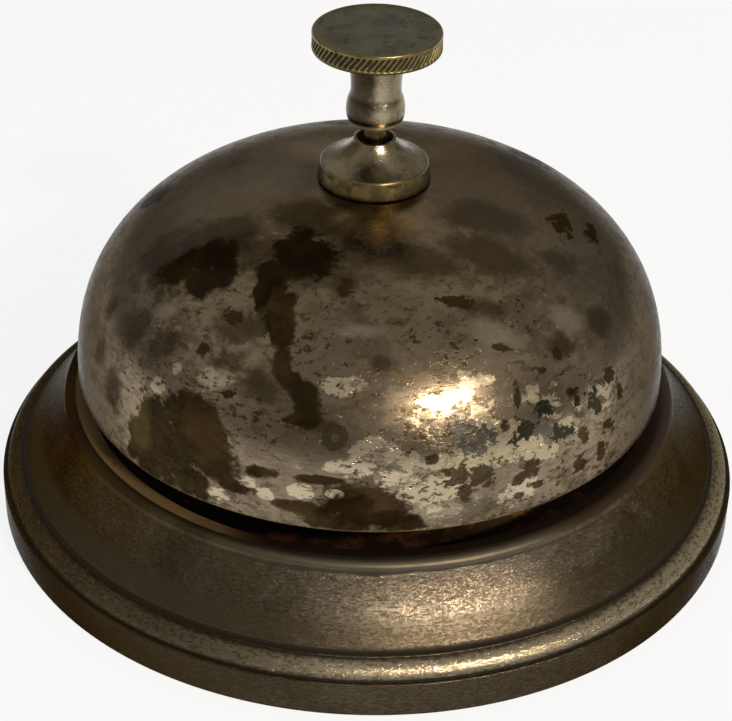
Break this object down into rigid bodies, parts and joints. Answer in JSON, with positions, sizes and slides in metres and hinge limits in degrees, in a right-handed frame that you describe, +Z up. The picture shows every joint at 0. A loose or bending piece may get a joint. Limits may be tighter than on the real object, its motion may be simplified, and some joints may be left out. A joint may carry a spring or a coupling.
{
  "type": "table bell",
  "caption": "Desk bell: plated dome gong on a turned cast base, knurled push button on a sprung plunger, and a pivoted hammer lever inside.",
  "frame": {"origin": "middle of the foot's underside, on the surface that the bell stands on", "axes": "+Z up along the bell's turning axis; +X towards the hammer; -Y towards the picture's camera"},
  "size_m": [0.1056, 0.1056, 0.071],
  "materials": {
    "base_plate": "turned cast iron under worn nickel plating, dark brown and rust-stained, fine lathe lines",
    "gong_plate": "worn nickel plating over brass, tarnished brown, with pits, stains and a flaked patch",
    "trim_plate": "polished nickel plating over turned brass, worn and scratched",
    "button_brass": "bare aged brass, bright on the knurl's ridges and the rim",
    "rod_brass": "bare turned brass",
    "inner_steel": "plain machined steel, slightly rusted",
    "spring_steel": "blued spring steel",
    "fibre": "pressed red-brown fibre"
  },
  "bodies": {
    "base": {"base_casting": "base_plate", "center_post": "inner_steel", "post_washer": "inner_steel", "post_nut": "inner_steel", "gong": "gong_plate", "gong_seat_washer": "fibre", "collar_nut": "trim_plate", "lever_bracket": "inner_steel", "bracket_screw": "inner_steel", "pivot_pin": "inner_steel", "return_spring": "spring_steel"},
    "plunger": {"plunger_rod": "rod_brass", "plunger_stop": "inner_steel", "stop_pin": "inner_steel", "button_neck": "trim_plate", "push_button": "button_brass"},
    "striker": {"striker_lever": "inner_steel", "striker_blade": "spring_steel", "blade_rivets": "rod_brass", "hammer_head": "rod_brass", "hammer_rivet": "rod_brass"}
  },
  "joints": [
    {"name": "plunger_slide", "type": "slide", "parent": "base", "child": "plunger", "axis": [0, 0, 1], "range_m": [-0.0018, 0], "stiffness_N_per_m": 400, "springref_m": 0.005, "deforming": ["return_spring"]},
    {"name": "striker_hinge", "type": "hinge", "parent": "base", "child": "striker", "pos_m": [0.0072, 0, 0.03402], "axis": [0, 1, 0], "range_deg": [-14.4, 0]}
  ],
  "couplings": [
    {"joint": "striker_hinge", "follows": "plunger_slide", "rad_per_m": 138.89}
  ]
}
